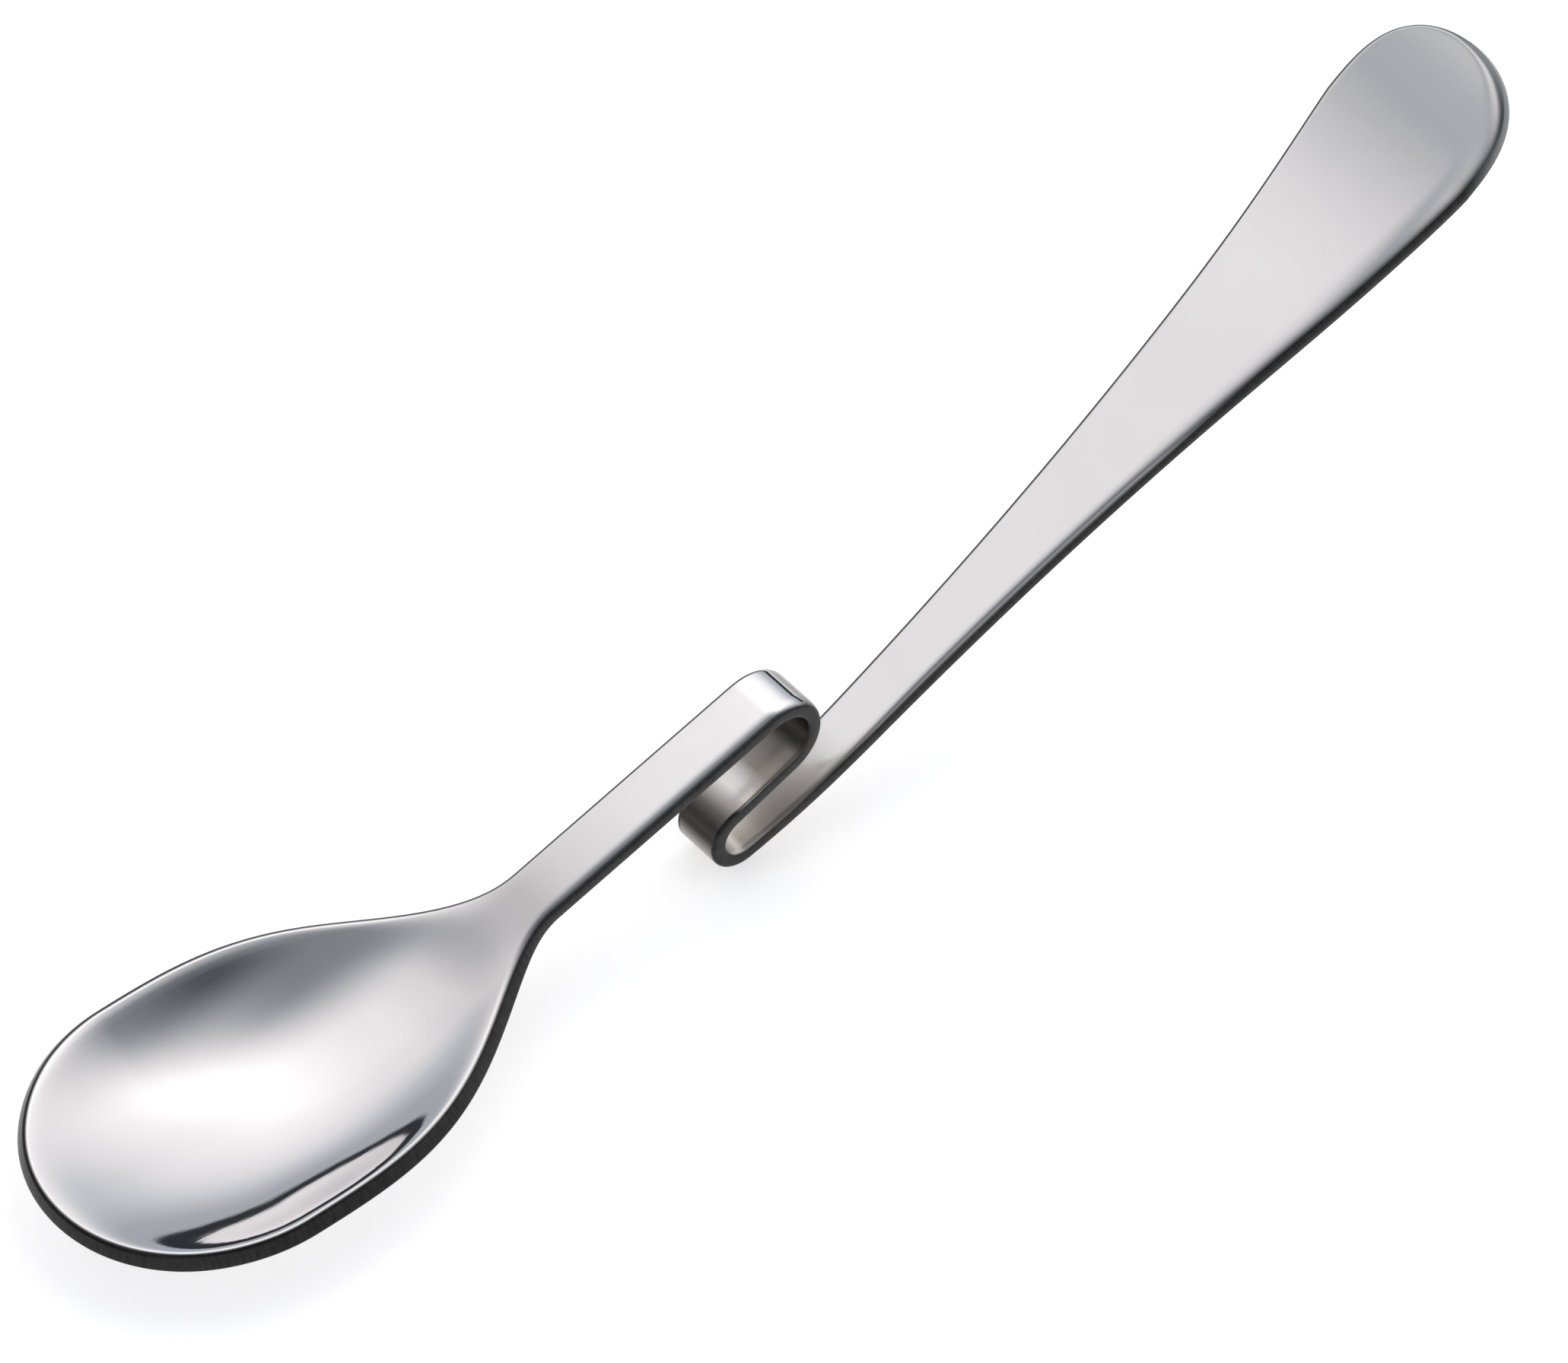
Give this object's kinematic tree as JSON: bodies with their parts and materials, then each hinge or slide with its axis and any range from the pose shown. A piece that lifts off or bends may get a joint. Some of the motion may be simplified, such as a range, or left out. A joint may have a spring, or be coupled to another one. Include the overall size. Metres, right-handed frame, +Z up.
{
  "type": "jam spoon",
  "caption": "Polished stainless steel jam spoon: an egg-shaped bowl, a slim shank, and a handle folded back on itself into a hook that hangs the spoon on a jar's rim.",
  "frame": {"origin": "On the table below the middle of the spoon's length: the bowl's underside and the hook's lower bend stand on z = 0, and y = 0 is the plane that halves the spoon.", "axes": "+X runs from the bowl's tip to the handle's tip, +Z is up with the bowl's hollow facing up, and +Y is to the left when looking along +X."},
  "size_m": [0.1602, 0.0314, 0.0455],
  "materials": {
    "polished_steel": "mirror-polished stainless steel, not plated"
  },
  "bodies": {
    "root": {"spoon": "polished_steel"}
  },
  "joints": []
}
